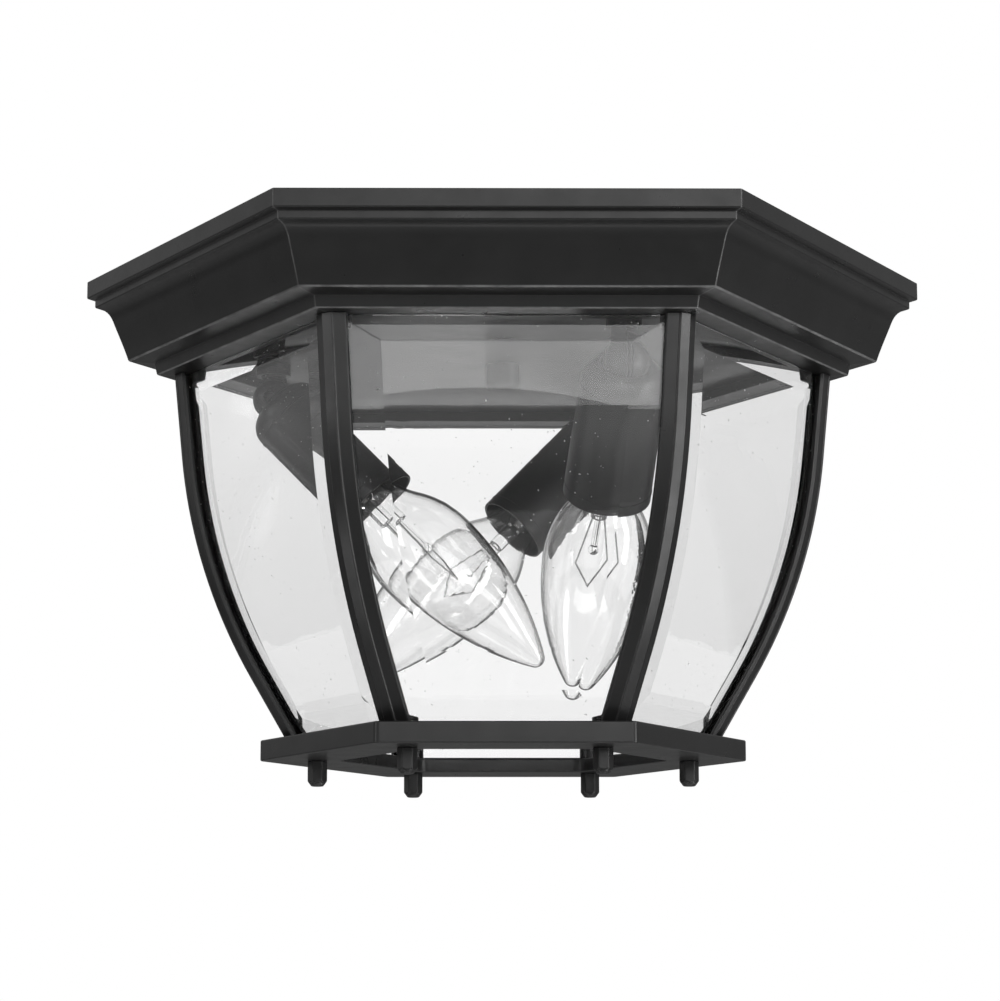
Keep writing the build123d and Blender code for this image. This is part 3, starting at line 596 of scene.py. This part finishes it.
def make_bead(name, lamp, along, bulge):
    """Thin ring round the cup of a lamp."""
    mount = math.radians(LAMP_MOUNTS[lamp])
    pivot = Vector((LAMP_CIRCLE * math.cos(mount), LAMP_CIRCLE * math.sin(mount), PIVOT_HEIGHT))
    turn = Matrix.Rotation(math.radians(LAMP_HEADINGS[lamp]), 3, "Z")
    turn = turn @ Matrix.Rotation(math.radians(-LAMP_TILTS[lamp]), 3, "Y")
    points = []
    for i in range(BEAD_TURNS):
        around = math.tau * i / BEAD_TURNS
        for j in range(BEAD_SIDES):
            side = math.tau * j / BEAD_SIDES
            radius = CUP_RADIUS + bulge * math.cos(side)
            height = bulge * math.sin(side) - along
            local = Vector((radius * math.cos(around), radius * math.sin(around), height))
            points.append((pivot + turn @ local) * MM)
    mesh = make_mesh(name, points, closed_grid(BEAD_TURNS, BEAD_SIDES), SOCKET)
    mesh.shade_smooth()
    bead = add_object(name, mesh)
    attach(bead, f"lamp_{lamp + 1}")


for lamp in range(len(LAMP_MOUNTS)):
    for bead_name, along, bulge in CUP_BEADS:
        make_bead(f"{bead_name}_{lamp + 1}", lamp, along, bulge)


# A soft white studio: pale floor, white surroundings, large soft lamps.
FLOOR_HEIGHT = -1.6
FLOOR_SIZE = 9.0
FLOOR_GLOW = 0.9


def make_floor():
    half = FLOOR_SIZE / 2
    plan = ((-half, -half), (half, -half), (half, half), (-half, half))
    t = Tree("floor_paint")
    paint = t.mix(t.noise(scale=3, kind=BROKEN), grey(0.80), grey(0.84))
    t.set(Base_Color=paint, Roughness=0.7)
    glow = t.add("ShaderNodeEmission")
    blend = t.add("ShaderNodeMixShader")
    path = t.add("ShaderNodeLightPath")
    seen = t.math("MAXIMUM", path.outputs["Is Camera Ray"], path.outputs["Is Transmission Ray"])
    t.link(t.math("MULTIPLY", seen, FLOOR_GLOW), blend.inputs["Fac"])
    t.link(t.shader.outputs["BSDF"], blend.inputs[1])
    t.link(glow.outputs["Emission"], blend.inputs[2])
    t.link(blend.outputs["Shader"], t.output.inputs["Surface"])
    points = [(x, y, FLOOR_HEIGHT) for x, y in plan]
    floor = add_object("floor", make_mesh("floor", points, [(0, 1, 2, 3)], t.material))


# Brightness of the surroundings. What is mirrored depends on where the look goes:
# down or level, to the left or the right, and to the front, below or above the horizon.
WHITE = 1.0
WORLD_LIGHT = 0.28
SIDE_REACH = (-0.5, 0.5)
MIRRORED_LEFT = 0.5
MIRRORED_RIGHT = 0.3
HORIZON_REACH = (-0.15, 0.2)
MIRRORED_LOW = 0.1
FRONT_REACH = (-0.5, -0.9)
FRONT_FALL = (-0.25, -0.02)
MIRRORED_FRONT_LOW = 0.3
MIRRORED_FRONT = 0.8


def make_world():
    """White behind clear glass, a dim room in what is mirrored, and soft light on the rest."""
    world = bpy.data.worlds.new("studio")
    world.use_nodes = True
    world.cycles.sampling_method = "NONE"
    scene.world = world
    tree = world.node_tree

    def ramp(value, low, high, to_low, to_high):
        node = tree.nodes.new("ShaderNodeMapRange")
        node.interpolation_type = "SMOOTHSTEP"
        node.inputs["From Min"].default_value = low
        node.inputs["From Max"].default_value = high
        for key, level in (("To Min", to_low), ("To Max", to_high)):
            if isinstance(level, bpy.types.NodeSocket):
                tree.links.new(level, node.inputs[key])
            else:
                node.inputs[key].default_value = level
        tree.links.new(value, node.inputs["Value"])
        return node.outputs["Result"]

    path = tree.nodes.new("ShaderNodeLightPath")
    split = tree.nodes.new("ShaderNodeSeparateXYZ")
    look = tree.nodes.new("ShaderNodeTexCoord").outputs["Generated"]
    tree.links.new(look, split.inputs[0])
    sides = ramp(split.outputs["X"], *SIDE_REACH, MIRRORED_LEFT, MIRRORED_RIGHT)
    around = ramp(split.outputs["Z"], *HORIZON_REACH, MIRRORED_LOW, sides)
    front = ramp(split.outputs["Z"], *FRONT_FALL, MIRRORED_FRONT_LOW, MIRRORED_FRONT)
    mirrored = ramp(split.outputs["Y"], *FRONT_REACH, around, front)
    clear_or_mirrored = ramp(path.outputs["Glossy Depth"], 0, 1, WHITE, mirrored)
    level = ramp(path.outputs["Diffuse Depth"], 0, 1, clear_or_mirrored, WORLD_LIGHT)
    background = tree.nodes["Background"]
    tree.links.new(level, background.inputs["Strength"])
    background.inputs["Color"].default_value = grey(WHITE)


# A dark card with a round top stands before the front box and is seen in mirror images only.
# It bows the lower edge of the box's image in the front pane.
FLAG_PLACE = (-0.007, -2.15)
FLAG_RADIUS = 0.57
FLAG_HALF_WIDTH = 0.25
FLAG_TOP = -0.003
FLAG_LOW = -0.075
FLAG_GLOW = 0.15
FLAG_STEPS = 64


def make_flag():
    x, y = FLAG_PLACE
    middle = FLAG_TOP - FLAG_RADIUS
    rim = []
    for i in range(FLAG_STEPS + 1):
        side = FLAG_HALF_WIDTH * (2 * i / FLAG_STEPS - 1)
        rim.append((x + side, y, middle + math.sqrt(FLAG_RADIUS**2 - side**2)))
    rim += [(x + FLAG_HALF_WIDTH, y, FLAG_LOW), (x - FLAG_HALF_WIDTH, y, FLAG_LOW)]
    t = Tree("flag_card")
    glow = t.add("ShaderNodeEmission")
    glow.inputs["Strength"].default_value = FLAG_GLOW
    t.link(glow.outputs["Emission"], t.output.inputs["Surface"])
    t.material.cycles.emission_sampling = "NONE"
    flag = add_object("flag", make_mesh("flag", rim, [tuple(range(len(rim)))], t.material))
    flag.visible_camera = False
    flag.visible_diffuse = False
    flag.visible_transmission = False
    flag.visible_shadow = False


# Each softbox: name, place, where it faces, width, height, and how bright its face is.
CENTRE = (0, 0, -0.09)
FRONT_BOX_LOW = -0.07
FRONT_BOX_HEIGHT = 1.1
FRONT_BOX_MIDDLE = FRONT_BOX_LOW + FRONT_BOX_HEIGHT / 2
FRONT_BOX_PLACE = (0.47, -2.2, FRONT_BOX_MIDDLE)
FRONT_BOX_AIM = (0.47, 0, FRONT_BOX_MIDDLE)
SOFTBOXES = (
    ("front_box", FRONT_BOX_PLACE, FRONT_BOX_AIM, 1.26, FRONT_BOX_HEIGHT, 2.2),
    ("left_box", (-1.45, -0.8, 0.3), (0, 0, 0.3), 0.4, 0.84, 3.2),
    ("left_low_box", (-1.45, -0.8, -1.0), (0, 0, -1.0), 0.4, 0.6, 3.0),
    ("right_box", (1.45, -0.8, -0.3), (0, 0, -0.3), 0.4, 2.2, 6.5),
    ("top_box", (0, 0.2, 1.6), CENTRE, 1.6, 1.6, 0.6),
    ("low_box", (0, -0.15, -1.5), CENTRE, 1.6, 0.25, 1.5),
)
POWER_PER_BRIGHT_AREA = 4


def make_softbox(name, place, aim, width, height, brightness):
    data = bpy.data.lights.new(name, "AREA")
    data.shape = "RECTANGLE"
    data.size = width
    data.size_y = height
    data.energy = POWER_PER_BRIGHT_AREA * width * height * brightness
    lamp = add_object(name, data)
    lamp.location = place
    lamp.rotation_euler = (Vector(aim) - Vector(place)).to_track_quat("-Z", "Y").to_euler()
    lamp.visible_camera = False


make_floor()
make_world()
make_flag()
for softbox in SOFTBOXES:
    make_softbox(*softbox)
